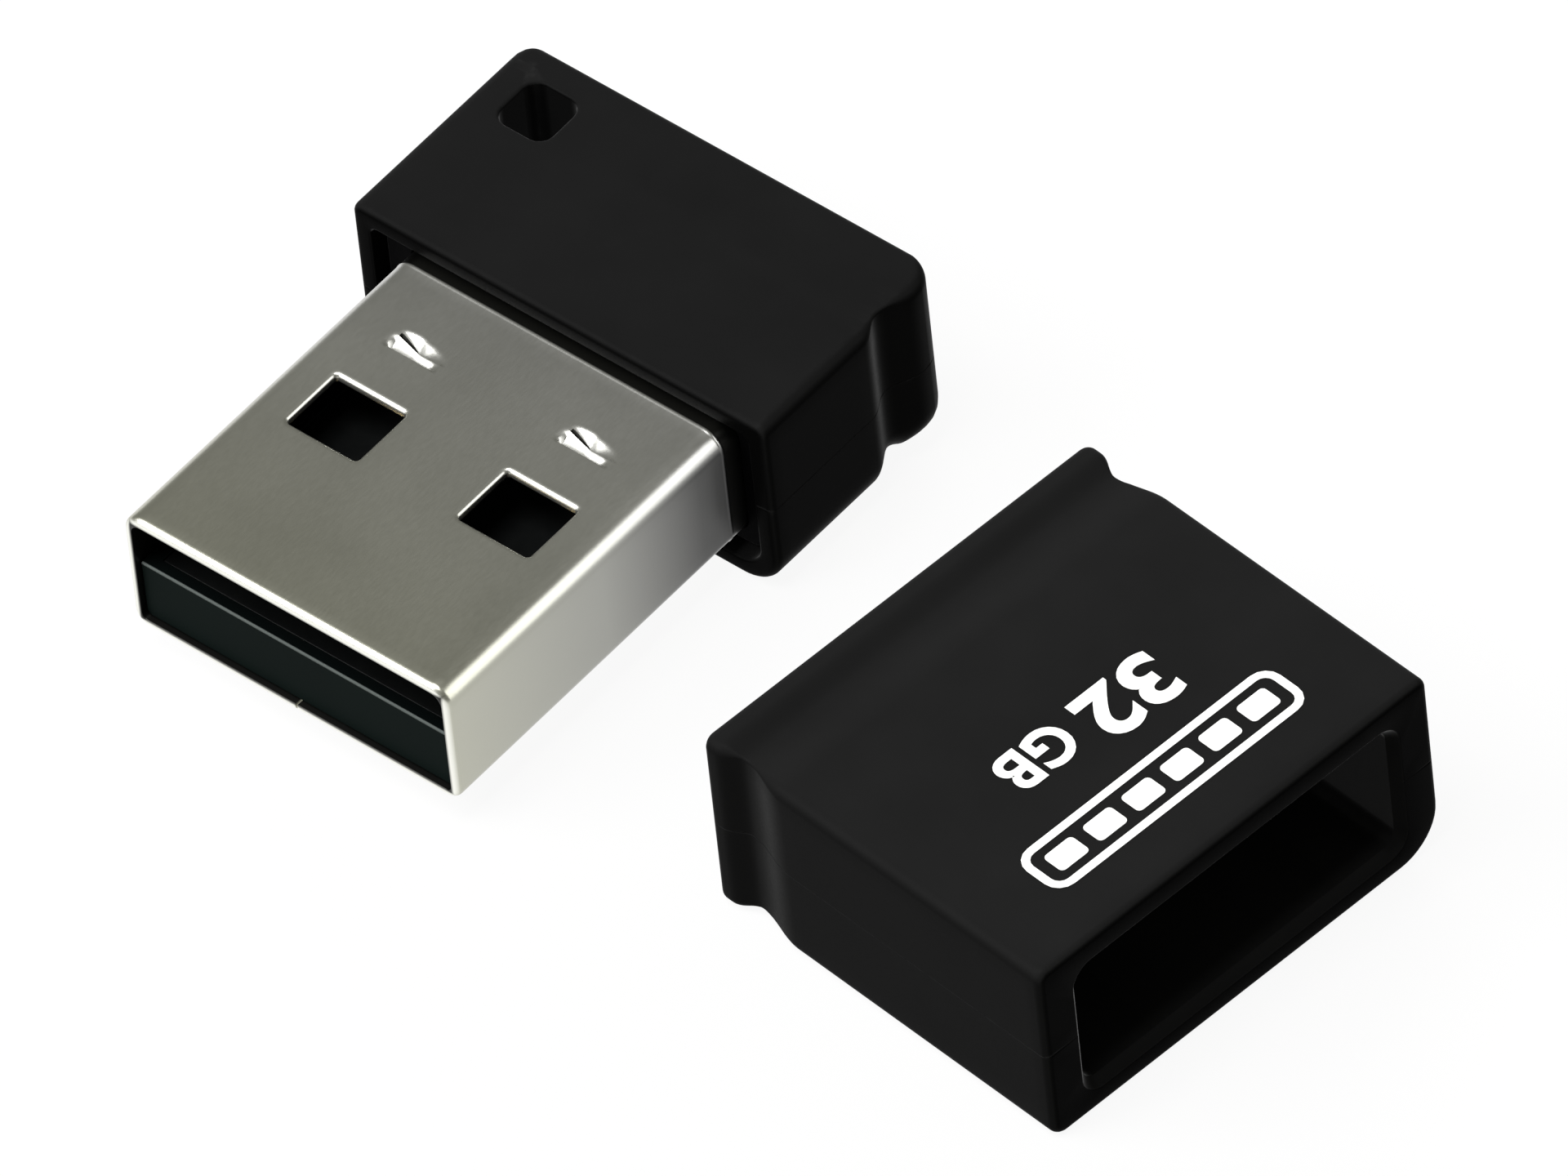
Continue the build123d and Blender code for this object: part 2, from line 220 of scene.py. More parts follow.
def half_profile(shape, upper, lines, inset, left_angles, right_angles, bump=None):
    """Points (x, z) of half an outline, from the right joint edge round to the left one.

    inset is the chamfer at the joint. left_angles and right_angles sample the corners, from side to flat.
    """
    x_left, x_right = shape["x"]
    (z_left, z_right), (r_left, r_right) = face_of(shape, upper)
    sign = 1 if upper else -1
    start = SEAM_Z + sign * SEAM_CHAMFER
    top_right = z_right - sign * r_right
    top_left = z_left - sign * r_left
    points = [(x_right - inset, SEAM_Z)]
    for share in SIDE_SHARES:
        points.append((x_right, start + (top_right - start) * share))
    for angle in right_angles:
        across, up = circle_point(r_right, angle)
        points.append((x_right - r_right + across, top_right + sign * up))
    flat_left, flat_right = x_left + r_left, x_right - r_right
    for x in reversed(fitted_lines(lines, flat_left, flat_right)):
        z = z_left + (z_right - z_left) * (x - flat_left) / (flat_right - flat_left)
        points.append((x, z - sign * (bump(x) if bump else 0.0)))
    for angle in reversed(left_angles):
        across, up = circle_point(r_left, angle)
        points.append((x_left + r_left - across, top_left + sign * up))
    for share in reversed(SIDE_SHARES):
        points.append((x_left, start + (top_left - start) * share))
    points.append((x_left + inset, SEAM_Z))
    return points


def even_angles(count):
    """Angles from 0 to 90 degrees."""
    return [90.0 * step / count for step in range(count + 1)]


def joint_shift(distance, length):
    """How far the joint edges move along a part, away from the end, for the chamfer round that end."""
    if distance < SEAM_CHAMFER:
        return SEAM_CHAMFER - distance
    if distance > length - SEAM_CHAMFER:
        return length - SEAM_CHAMFER - distance
    return 0.0


def cell(rows, row, column):
    """Corners of one cell of a grid of vertices."""
    near, far = rows[row], rows[row + 1]
    return [near[column], far[column], far[column + 1], near[column + 1]]


def block_cells(area):
    """Rows and columns of the cells that an opening takes."""
    return {(row, column) for row in range(*area["rows"]) for column in range(*area["columns"])}


def half_shell(rings, place, hole=None):
    """Closed mesh of one half of a hollow part.

    rings run from the closed end over the outside, round the mouth and back inside. Each is (y, points,
    shift), where shift moves the two joint edges along Y for the chamfer round an end.
    """
    bm = bmesh.new()
    rows = []
    for y, points, shift in rings:
        last = len(points) - 1
        rows.append([
            bm.verts.new(place(x, y + (shift if index in (0, last) else 0.0), z))
            for index, (x, z) in enumerate(points)
        ])
    skipped = block_cells(hole) if hole else set()
    for row in range(len(rows) - 1):
        for column in range(len(rows[0]) - 1):
            if (row, column) not in skipped:
                bm.faces.new(cell(rows, row, column))
    for row in (rows[0], rows[-1]):
        bm.faces.new(row[1:-1])
        bm.faces.new([row[0], row[1], row[-2], row[-1]])
    loops = [[row[0] for row in rows] + [row[-1] for row in reversed(rows)]]
    if hole:
        loops.append(hole_wall(bm, rows, hole, place))
    joint = [vertex for loop in loops for vertex in loop]
    for triangle in tessellate_polygon([[vertex.co for vertex in loop] for loop in loops]):
        corners = [joint[index] for index in triangle]
        if len(set(corners)) == 3:
            bm.faces.new(corners)
    bmesh.ops.recalc_face_normals(bm, faces=bm.faces[:])
    return bm


def rounded_outline(centre, half, radius, counts):
    """Points and outward directions round a rounded rectangle, with counts of steps along X and Y sides.

    Two steps at each end of a side go round the corner.
    """
    found = []
    along_x, along_y = counts
    corners = [
        (1, 1, 45.0, along_x),
        (-1, 1, 135.0, along_y),
        (-1, -1, 225.0, along_x),
        (1, -1, 315.0, along_y),
    ]
    for number, (sx, sy, middle, steps) in enumerate(corners):
        here = (centre[0] + sx * (half[0] - radius), centre[1] + sy * (half[1] - radius))
        nx, ny = corners[(number + 1) % 4][:2]
        there = (centre[0] + nx * (half[0] - radius), centre[1] + ny * (half[1] - radius))
        for step in range(steps):
            if step <= 2:
                core, turn = here, middle + 22.5 * step
            elif step >= steps - 2:
                core, turn = there, middle + 90 - 22.5 * (steps - step)
            else:
                share = (step - 2) / (steps - 4)
                core = tuple(p + (q - p) * share for p, q in zip(here, there))
                turn = middle + 45
            facing = circle_point(1.0, turn)
            edge = [start + radius * way for start, way in zip(core, facing)]
            found.append((*edge, *facing))
    return found


def matched(outline, plan):
    """The outline's points in the order that lies nearest to the plan's points."""
    target = np.array(plan)
    best = None
    for points in (outline, outline[::-1]):
        for shift in range(len(points)):
            turned = points[shift:] + points[:shift]
            miss = ((np.array(turned)[:, :2] - target) ** 2).sum()
            if best is None or miss < best[0]:
                best = (miss, turned)
    return best[1]


def edge_profile(radius, angles=(0, 20, 40, 60, 75, 90)):
    """Steps (outward, down) round the edge of an opening, from the face to the wall."""
    turns = [math.radians(angle) for angle in angles]
    return [(radius * (1 - math.sin(turn)), radius * (1 - math.cos(turn))) for turn in turns]


def patch_rings(plan, outline, radius):
    """Plan positions and depths of the rings from a block's edge to the wall of the hole in it."""
    rings = []
    for share in PATCH_SHARES:
        ring = []
        for (x, y), (px, py, nx, ny) in zip(plan, outline):
            tx, ty = px + radius * nx, py + radius * ny
            ring.append((x + (tx - x) * share, y + (ty - y) * share, 0.0))
        rings.append(ring)
    for out, down in edge_profile(radius):
        rings.append([(px + out * nx, py + out * ny, down) for px, py, nx, ny in outline])
    return rings


def joined(bm, loops):
    """Bands of faces between closed loops of vertices."""
    for a, b in zip(loops, loops[1:]):
        for index in range(len(a)):
            after = (index + 1) % len(a)
            bm.faces.new([a[index], a[after], b[after], b[index]])


def block_edge(rows, area):
    """Vertices round the cells that are left out, in order."""
    first, last = area["rows"]
    start, stop = area["columns"]
    edge = [rows[first][column] for column in range(start, stop)]
    edge += [rows[row][stop] for row in range(first, last)]
    edge += [rows[last][column] for column in range(stop, start, -1)]
    edge += [rows[row][start] for row in range(last, first, -1)]
    return edge


def opening(bm, grid, area, form, bevel, spot):
    """Fills left-out cells up to an opening, with a rounded edge. Gives the outline and the loops made.

    form is the opening's centre, half sizes and corner radius. spot places a vertex at (x, y, depth).
    """
    edge = block_edge(grid, area)
    plan = [(vertex.co.x / MM, vertex.co.y / MM) for vertex in edge]
    counts = (area["columns"][1] - area["columns"][0], area["rows"][1] - area["rows"][0])
    outline = matched(rounded_outline(*form, counts), plan)
    rings = patch_rings(plan, outline, bevel)
    return outline, [edge] + [[bm.verts.new(spot(*point)) for point in ring] for ring in rings]


def hole_wall(bm, rows, hole, place):
    """The lanyard hole's opening, with its wall down to the joint."""
    def spot(x, y, down):
        return place(x, y, hole["height"](x, y) - hole["sign"] * down)

    form = ((HOLE_X, HOLE_Y), (HOLE_SIZE / 2, HOLE_SIZE / 2), HOLE_RADIUS)
    outline, loops = opening(bm, rows, hole, form, HOLE_BEVEL, spot)
    loops.append([bm.verts.new(place(x, y, SEAM_Z)) for x, y, _, _ in outline])
    joined(bm, loops)
    return loops[-1]


def smoothed(piece):
    """Smooth shading with normals that follow the larger faces."""
    piece.data.polygons.foreach_set("use_smooth", [True] * len(piece.data.polygons))
    weigh = piece.modifiers.new("face_weights", "WEIGHTED_NORMAL")
    weigh.keep_sharp = True


def finished(name, bm, body, nodes, material):
    """Makes the object, shades it and ties it to the frame."""
    mesh = bpy.data.meshes.new(name)
    bm.to_mesh(mesh)
    bm.free()
    piece = bpy.data.objects.new(name, mesh)
    bpy.context.scene.collection.objects.link(piece)
    mesh.set_sharp_from_angle(angle=SHARP)
    smoothed(piece)
    mesh.materials.append(material)
    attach(piece, body)
    if nodes:
        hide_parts(*nodes)
    return piece


# -------- body
def at_drive(x, y, z):
    """From millimetres in the drive's frame to metres."""
    return Vector((x, y, z)) * MM


CAP_COS, CAP_SIN = circle_point(1.0, CAP_TURN)


def at_cap(x, y, z):
    """From the cap's own frame to where it lies."""
    across = CAP_MOUTH[0] + x * CAP_COS - y * CAP_SIN
    along = CAP_MOUTH[1] + x * CAP_SIN + y * CAP_COS
    return Vector((across, along, z)) * MM


def spread(start, stop, step):
    """Even positions from start to stop, about a step apart."""
    count = max(1, round((stop - start) / step))
    return [start + (stop - start) * index / count for index in range(count + 1)]


def bend(radius, step):
    """Distances from an end that is rounded with a radius, one for every step of the angle."""
    return [radius * (1 - math.cos(math.radians(angle))) for angle in range(0, 91, step)]


def outer_stations(length, grip, fixed=()):
    """Distances from the lip's end, fine where the form bends."""
    ends = bend(END_RADIUS, 18)
    corners = bend(max(grip["corner_radii"]), 15)
    groove = spread(grip["start"], grip["end"], GROOVE_STEP)
    plain = spread(grip["end"], length - END_RADIUS, PLAIN_STEP)
    values = ends + corners + groove + plain + list(fixed) + [length - end for end in ends]
    values = sorted(set(round(value, 4) for value in values))
    kept = [values[0]]
    for value in values[1:]:
        if value - kept[-1] > CLOSEST or value in fixed or value == values[-1]:
            kept.append(value)
    return kept


def housing_section(distance):
    return section(distance, BODY_DEPTH, BODY_GRIP, BODY_LOW_RADII)


def housing_samples(upper, low, high):
    """Lines across a body half's flat face and angles at its corners, fine beside the lanyard hole."""
    if upper:
        lines = spread(low[0], high[0], HOLE_STEP) + spread(high[0], TOP_LINES_END, FLAT_STEP)[1:]
        return lines, even_angles(8), even_angles(8)
    start, stop = BASE_LINES
    lines = spread(start, high[0], HOLE_STEP) + spread(high[0], stop, FLAT_STEP)[1:]
    cut = math.degrees(math.asin((-WIDTH / 2 + BOTTOM_RADIUS - low[0]) / BOTTOM_RADIUS))
    left_angles = [*range(0, 61, 10), 90 - cut, *LAST_ANGLES]
    return lines, left_angles, even_angles(12)


def housing_mouth(profile):
    """Rings round the front opening's edge and back inside to the rear wall."""
    rings = []
    mouth = WIDTH - 2 * RIM
    for grow, depth in edge_profile(RIM_BEVEL, even_angles(4)):
        radii = (SEAT_RADII[0], SEAT_RADII[1] + grow)
        shape = box_section(mouth + 2 * grow, RIM - grow, HEIGHT - RIM + grow, radii)
        rings.append((BODY_FRONT + depth, profile(shape, 0.0), max(SEAM_CHAMFER - depth, 0.0)))
    seat = box_section(mouth, RIM, HEIGHT - RIM, SEAT_RADII)
    room = box_section(WIDTH - 2 * WALL, WALL, HEIGHT - WALL, ROOM_RADII)
    narrow = dict(room)
    narrow["x"] = (HOLE_X + HOLE_SIZE / 2 + HOLE_WALL, room["x"][1])
    post_front = HOLE_Y - HOLE_SIZE / 2 - HOLE_WALL
    inside = (
        (COLLAR_BACK, seat),
        (COLLAR_BACK + STEP_BACK, room),
        (post_front, room),
        (post_front + STEP_BACK, narrow),
        (BODY_BACK - BACK_WALL, narrow),
    )
    return rings + [(y, profile(shape, 0.0), 0.0) for y, shape in inside]


def face_height(upper):
    """The function that gives the flat face's height at a spot of the body half."""
    def height(x, y):
        shape = housing_section(BODY_BACK - y)
        (z_left, z_right), (r_left, r_right) = face_of(shape, upper)
        start, stop = shape["x"][0] + r_left, shape["x"][1] - r_right
        if x < start:
            fall = r_left - math.sqrt(max(r_left**2 - (start - x) ** 2, 0.0))
            return z_left - fall if upper else z_left + fall
        return z_left + (z_right - z_left) * (x - start) / (stop - start)

    return height


def housing_half(upper):
    """One half of the body, with its share of the lanyard hole."""
    low = (HOLE_X - HOLE_SIZE / 2 - HOLE_MARGIN, HOLE_Y - HOLE_SIZE / 2 - HOLE_MARGIN)
    high = (HOLE_X + HOLE_SIZE / 2 + HOLE_MARGIN, HOLE_Y + HOLE_SIZE / 2 + HOLE_MARGIN)
    hole_rows = tuple(round(BODY_BACK - y, 4) for y in (high[1], low[1]))
    stations = outer_stations(BODY_DEPTH, BODY_GRIP, hole_rows)
    lines, left_angles, right_angles = housing_samples(upper, low, high)

    def profile(shape, inset):
        return half_profile(shape, upper, lines, inset, left_angles, right_angles)

    rings = []
    for distance in stations:
        shape = housing_section(distance)
        shift = -joint_shift(distance, BODY_DEPTH)
        rings.append((BODY_BACK - distance, profile(shape, SEAM_CHAMFER), shift))
    first, last = (stations.index(row) for row in hole_rows)
    columns = [
        index for index, (x, z) in enumerate(rings[first][1])
        if low[0] - 0.01 <= x <= high[0] + 0.01 and (z > HEIGHT - 0.5 if upper else z < 0.5)
    ]
    hole = {
        "rows": (first, last),
        "columns": (columns[0], columns[-1]),
        "sign": 1 if upper else -1,
        "height": face_height(upper),
    }
    return half_shell(rings + housing_mouth(profile), at_drive, hole)


# -------- cap
def flipped(shape):
    """A section of the cap mirrored left to right, with its top lowered by the ink's thickness."""
    return {
        "x": (-shape["x"][1], -shape["x"][0]),
        "low": shape["low"][::-1],
        "high": [level - INK for level in shape["high"][::-1]],
        "low_r": shape["low_r"][::-1],
        "high_r": shape["high_r"][::-1],
    }


def rib_bump(x):
    """Height of the grip ribs inside the cap."""
    return RIB_HEIGHT if abs(abs(x) - RIB_X) < RIB_HALF else 0.0


def cap_lines():
    """Lines across the cap, with a pair on each flank of each rib."""
    flanks = (-RIB_HALF - RIB_EDGE, -RIB_HALF + RIB_EDGE, RIB_HALF - RIB_EDGE, RIB_HALF + RIB_EDGE)
    ribs = [sign * RIB_X + flank for sign in (-1, 1) for flank in flanks]
    plain = [x for x in spread(*CAP_LINES, CAP_STEP) if all(abs(x - rib) > RIB_CLEAR for rib in ribs)]
    return sorted(ribs + plain)


def cap_half(upper):
    """One half of the cap, from its closed end to its mouth and back inside."""
    lines = cap_lines()
    angles = even_angles(10)

    def profile(shape, inset, bump=None):
        return half_profile(shape, upper, lines, inset, angles, angles, bump)

    rings = []
    for distance in outer_stations(CAP_LENGTH, CAP_GRIP):
        shape = flipped(section(distance, CAP_LENGTH, CAP_GRIP, CAP_LOW_RADII))
        shift = joint_shift(distance, CAP_LENGTH)
        rings.append((distance - CAP_LENGTH, profile(shape, SEAM_CHAMFER), shift))
    for bevel, depth in edge_profile(LEAD_BEVEL, even_angles(4)):
        grow = LEAD_IN + bevel
        radii = (CAVITY_RADIUS + grow, CAVITY_RADIUS + grow)
        shape = box_section(CAVITY_WIDTH + 2 * grow, CAVITY_LOW - grow, CAVITY_HIGH + grow, radii)
        rings.append((-depth, profile(shape, 0.0), -max(SEAM_CHAMFER - depth, 0.0)))
    cavity = box_section(CAVITY_WIDTH, CAVITY_LOW, CAVITY_HIGH, (CAVITY_RADIUS, CAVITY_RADIUS))
    rib_end = -CAVITY_DEPTH + RIB_LENGTH
    for y, bump in (
        (-LEAD_IN - LEAD_BEVEL, None),
        (rib_end + RIB_RAMP, None),
        (rib_end, rib_bump),
        (-CAVITY_DEPTH, rib_bump),
    ):
        rings.append((y, profile(cavity, 0.0, bump), 0.0))
    return half_shell(rings, at_cap)


# -------- plug
SHEET = 0.3
TOP_BEND, BASE_BEND = 0.68, 0.5
TIP_ROUNDING = ((0.21, 0.0), (0.03, SHEET))
SEAM_GAP = 0.08
SHELL_REAR = BODY_FRONT + 1.6
TAB_LENGTH, TAB_HEIGHT, TAB_DROP = 1.9, 1.2, 0.65

# Latch windows. A block is the patch of mesh round an opening or a dimple, as half sizes.
WINDOW_X, WINDOW_Y = 3.15, PLUG_LOW[1] + 6.5
WINDOW_HALF, WINDOW_RADIUS = (1.3, 1.1), 0.12
WINDOW_BEVELS = (0.15, 0.05)
WINDOW_BLOCK = (1.65, 1.45)

# Dimples, with u across and v along each of them from its middle: a bent strip in front of a slit that runs
# aslant, and a scoop behind it.
DIMPLE_X, DIMPLE_Y = 3.15, PLUG_LOW[1] + 9.7
DIMPLE_BLOCK = (1.3, 0.8)
SLIT = (-0.16, -0.12)
SLIT_ENDS = (-0.8, 0.12)
SLIT_OPENING, SLIT_OVERRUN, SLIT_TAPERS = 0.11, 0.1, (0.15, 0.4)
SWING, SWING_START, SWING_FADES = 0.24, -1.2, (0.25, 0.95)
SCOOP_MIDDLE, SCOOP_REACH, SCOOP_DEPTH = 0.05, (0.9, 0.42), 0.23
STRIP_FRONT, STRIP_LEAD = -0.45, 0.07
STRIP_ENDS, STRIP_FADES = (-0.98, 0.86), (0.2, 0.12)
STRIP_STEP, STRIP_SLOPE = 0.02, 0.55

# Spacing of the sheet's mesh lines, across and along.
WINDOW_STEP, DIMPLE_STEP, WALL_STEP, BEND_MARGIN = (0.3, 0.29), 0.1, 0.44, 0.15
FRONT_STEP, BEFORE_SLIT, AFTER_SLIT, REAR_STEP = 0.45, 0.06, 0.07, 0.5

# Low bead round the sheet where it enters the body: distance from the body's front, and height.
BEAD = (
    (-0.16, 0.0), (-0.13, 0.005), (-0.10, 0.014), (-0.07, 0.018),
    (-0.04, 0.014), (-0.01, 0.005), (0.02, 0.0),
)
TONGUE_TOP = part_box("contact_carrier")[1][2] / MM
TONGUE_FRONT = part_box("contact_carrier")[0][1] / MM


def dimple_spot(x, y):
    """Place of a spot across and along the dimple on its side."""
    return x - math.copysign(DIMPLE_X, x), y - DIMPLE_Y


def behind_slit(v):
    return v > SLIT[1] - 0.01


def slit_swing(u):
    """How far back the slit lies at a distance across the dimple. It is furthest back at its -X end."""
    fade_in, fade_out = SWING_FADES
    return SWING * smooth_step((u - SWING_START) / fade_in) * clamped((SLIT_ENDS[1] - u) / fade_out)


def slit_width(u):
    """How far the slit stands open at a distance across the dimple."""
    start, stop = SLIT_ENDS
    opened = smooth_step((u - start + SLIT_OVERRUN) / SLIT_TAPERS[0])
    return SLIT_OPENING * opened * smooth_step((stop + SLIT_OVERRUN - u) / SLIT_TAPERS[1])


def dimple_depth(x, y):
    """How far the sheet is pressed down by the two dimples."""
    u, v = dimple_spot(x, y)
    if behind_slit(v):
        reach = math.hypot((u - SCOOP_MIDDLE) / SCOOP_REACH[0], (v - SLIT[1]) / SCOOP_REACH[1])
        return SCOOP_DEPTH * max(1 - reach, 0.0)
    start, stop = STRIP_ENDS
    ends = smooth_step((u - start) / STRIP_FADES[0]) * smooth_step((stop - u) / STRIP_FADES[1])
    length = SLIT[0] - STRIP_FRONT - STRIP_LEAD
    share = clamped((v - STRIP_FRONT - STRIP_LEAD) / length)
    ramp = STRIP_STEP + STRIP_SLOPE * (length + slit_swing(u)) * (1 - share)
    return ramp * ends * smooth_step((v - STRIP_FRONT) / STRIP_LEAD)


def slit_slant(x, y):
    """Shift along Y that lays the slit aslant and opens it."""
    u, v = dimple_spot(x, y)
    if abs(u) > DIMPLE_BLOCK[0]:
        return 0.0
    if behind_slit(v):
        fade = 1 - clamped((v - SLIT[1]) / (DIMPLE_BLOCK[1] - SLIT[1]))
        return fade * (slit_swing(u) + slit_width(u))
    return slit_swing(u) * clamped((v - STRIP_FRONT) / (SLIT[0] - STRIP_FRONT))


def in_slit(x, y):
    u, v = dimple_spot(x, y)
    return SLIT_ENDS[0] < u < SLIT_ENDS[1] and SLIT[0] < v < SLIT[1]


def sheet_loop():
    """Points (x, z, nx, nz) round the folded sheet, from one side of the seam under it to the other."""
    half = PLUG_HIGH[0]
    low, high = PLUG_LOW[2], PLUG_HIGH[2]
    top_flat, base_flat = half - TOP_BEND, half - BASE_BEND
    window = spread(WINDOW_X - WINDOW_BLOCK[0], WINDOW_X + WINDOW_BLOCK[0], WINDOW_STEP[0])
    under = [SEAM_GAP / 2, 0.7, *window, base_flat - BEND_MARGIN]
    fine = spread(DIMPLE_X - DIMPLE_BLOCK[0], DIMPLE_X + DIMPLE_BLOCK[0], DIMPLE_STEP)
    over = [0.0, 0.5, 1.0, window[0], *fine, window[-1], top_flat - BEND_MARGIN]
    top = over[::-1] + [-x for x in over[1:]]
    wall = spread(low + BASE_BEND, high - TOP_BEND, WALL_STEP)[1:-1]
    loop = [(x, low, 0.0, -1.0) for x in under]

    def corner(cx, cz, radius, start):
        for step in range(10):
            nx, nz = circle_point(1.0, start + 10 * step)
            loop.append((cx + radius * nx, cz + radius * nz, nx, nz))

    corner(base_flat, low + BASE_BEND, BASE_BEND, -90)
    loop.extend((half, z, 1.0, 0.0) for z in wall)
    corner(top_flat, high - TOP_BEND, TOP_BEND, 0)
    loop.extend((x, high, 0.0, 1.0) for x in top)
    corner(-top_flat, high - TOP_BEND, TOP_BEND, 90)
    loop.extend((-half, z, -1.0, 0.0) for z in reversed(wall))
    corner(-base_flat, low + BASE_BEND, BASE_BEND, 180)
    loop.extend((-x, low, 0.0, -1.0) for x in reversed(under))
    return loop


def sheet_rows():
    """Positions along the plug, with how far the tip's rounding draws each of the two faces in."""
    rows = []
    for angle in range(0, 91, 18):
        along, across = circle_point(1.0, angle)
        rows.append((PLUG_LOW[1], 1 - along, 1 - across))
    window = spread(WINDOW_Y - WINDOW_BLOCK[1], WINDOW_Y + WINDOW_BLOCK[1], WINDOW_STEP[1])
    slit = [DIMPLE_Y + SLIT[0], DIMPLE_Y + sum(SLIT) / 2, DIMPLE_Y + SLIT[1]]
    before = spread(DIMPLE_Y - DIMPLE_BLOCK[1], slit[0], BEFORE_SLIT)
    after = spread(slit[-1], DIMPLE_Y + DIMPLE_BLOCK[1], AFTER_SLIT)
    plain = spread(PLUG_LOW[1] + 0.5, window[0] - 0.4, FRONT_STEP)
    bead = [BODY_FRONT + along for along, _ in BEAD]
    middle = spread(after[-1] + 0.4, bead[0] - 0.3, REAR_STEP)
    tail = spread(bead[-1] + 0.3, SHELL_REAR, REAR_STEP)
    for y in plain + window + before + slit[1:2] + after + middle + bead + tail:
        rows.append((y, 0.0, 0.0))
    return rows, window


def bead_height(y):
    """How far the sheet stands out in the bead."""
    heights = {round(BODY_FRONT + along, 6): height for along, height in BEAD}
    return heights.get(round(y, 6), 0.0)


def on_top(point):
    """Whether a point of the loop lies on the sheet's flat top."""
    return point[3] > 0.99 and point[1] > PLUG_HIGH[2] - 0.01


def sheet_face(bm, loop, rows, radius, inward):
    """Grid of vertices on one face of the sheet. radius rounds its edge at the tip."""
    grid = []
    for y, along, drawn in rows:
        line = []
        for point in loop:
            x, z, nx, nz = point
            if inward:
                offset = inward - radius * drawn
            else:
                offset = radius * drawn - bead_height(y)
            down = slant = 0.0
            if on_top(point):
                down, slant = dimple_depth(x, y), slit_slant(x, y)
            spot = (x - nx * offset, y + radius * along + slant, z - nz * offset - down)
            line.append(bm.verts.new(at_drive(*spot)))
        grid.append(line)
    return grid


def window_blocks(loop, rows, window):
    """Side, level and cells of the patch round each latch window. Level is 1 on top and -1 below."""
    first, last = (
        next(index for index, row in enumerate(rows) if abs(row[0] - end) < 1e-6)
        for end in (window[0], window[-1])
    )
    found = []
    for level, height in ((1, PLUG_HIGH[2]), (-1, PLUG_LOW[2])):
        for side in (1, -1):
            columns = [
                index for index, (x, z, nx, nz) in enumerate(loop)
                if nz * level > 0.99 and abs(z - height) < 1e-6
                and abs(abs(x) - WINDOW_X) < WINDOW_BLOCK[0] + 0.01 and x * side > 0
            ]
            area = {"rows": (first, last), "columns": (columns[0], columns[-1])}
            found.append((side, level, area))
    return found


def plug_sheet():
    """The plug's folded steel sheet, with its windows, dimples, seam and solder tabs."""
    loop = sheet_loop()
    rows, window = sheet_rows()
    bm = bmesh.new()
    skins = [sheet_face(bm, loop, rows, radius, inward) for radius, inward in TIP_ROUNDING]
    skipped = set()
    for side, level, area in window_blocks(loop, rows, window):
        skipped |= block_cells(area)
        window_opening(bm, skins, area, side, level)
    for row in range(len(rows) - 1):
        for column in range(len(loop) - 1):
            x = (loop[column][0] + loop[column + 1][0]) / 2
            y = (rows[row][0] + rows[row + 1][0]) / 2
            flat = loop[column][3] > 0.99 and loop[column + 1][3] > 0.99
            if (row, column) in skipped or (flat and in_slit(x, y)):
                continue
            for grid in skins:
                bm.faces.new(cell(grid, row, column))
    close_edges(bm, skins)
    for side in (1, -1):
        solder_tab(bm, side)
    bmesh.ops.recalc_face_normals(bm, faces=bm.faces[:])
    return bm


def window_opening(bm, skins, area, side, level):
    """Rounds the edges of one latch window through both faces of the sheet."""
    height = PLUG_HIGH[2] if level > 0 else PLUG_LOW[2]

    def outside(x, y, down):
        return at_drive(x, y, height - level * down)

    def inside(x, y, down):
        return at_drive(x, y, height - level * (SHEET - down))

    form = ((side * WINDOW_X, WINDOW_Y), WINDOW_HALF, WINDOW_RADIUS)
    walls = []
    for grid, bevel, spot in zip(skins, WINDOW_BEVELS, (outside, inside)):
        loops = opening(bm, grid, area, form, bevel, spot)[1]
        joined(bm, loops)
        walls.append(loops[-1])
    joined(bm, walls)


def close_edges(bm, skins):
    """Walls between the sheet's two faces along its free edges."""
    partner = {}
    for outer_row, inner_row in zip(*skins):
        partner.update(zip(outer_row, inner_row))
    for edge in [edge for edge in bm.edges if len(edge.link_faces) == 1]:
        a, b = edge.verts
        if a in partner and b in partner:
            bm.faces.new([a, b, partner[b], partner[a]])


def solder_tab(bm, side):
    """Tab at the plug's rear edge that is soldered to the board."""
    middle = side * (PLUG_HIGH[0] - SHEET / 2)
    made = bmesh.ops.create_cube(bm, size=1.0)
    for vertex in made["verts"]:
        x = middle + vertex.co.x * (SHEET - 0.02)
        y = SHELL_REAR - 0.1 + (vertex.co.y + 0.5) * (TAB_LENGTH + 0.1)
        z = TONGUE_TOP - TAB_DROP + (vertex.co.z + 0.5) * TAB_HEIGHT
        vertex.co = at_drive(x, y, z)


# -------- materials
def node(tree, kind, inputs=None, **settings):
    """Makes a shader node. inputs holds values, or sockets to link, by name or number."""
    made = tree.nodes.new(kind)
    for key, value in settings.items():
        setattr(made, key, value)
    for key, value in (inputs or {}).items():
        if isinstance(value, bpy.types.NodeSocket):
            tree.links.new(value, made.inputs[key])
        else:
            made.inputs[key].default_value = value
    return made


def noise(tree, coordinates, size, detail, stretch=(1.0, 1.0, 1.0)):
    """Noise whose features are about size millimetres, stretched along the axes."""
    scale = [1 / part for part in stretch]
    mapping = node(tree, "ShaderNodeMapping", {"Vector": coordinates, "Scale": scale})
    inputs = {"Vector": mapping.outputs[0], "Scale": 1 / (size * MM), "Detail": detail, "Roughness": 0.55}
    return node(tree, "ShaderNodeTexNoise", inputs).outputs["Fac"]


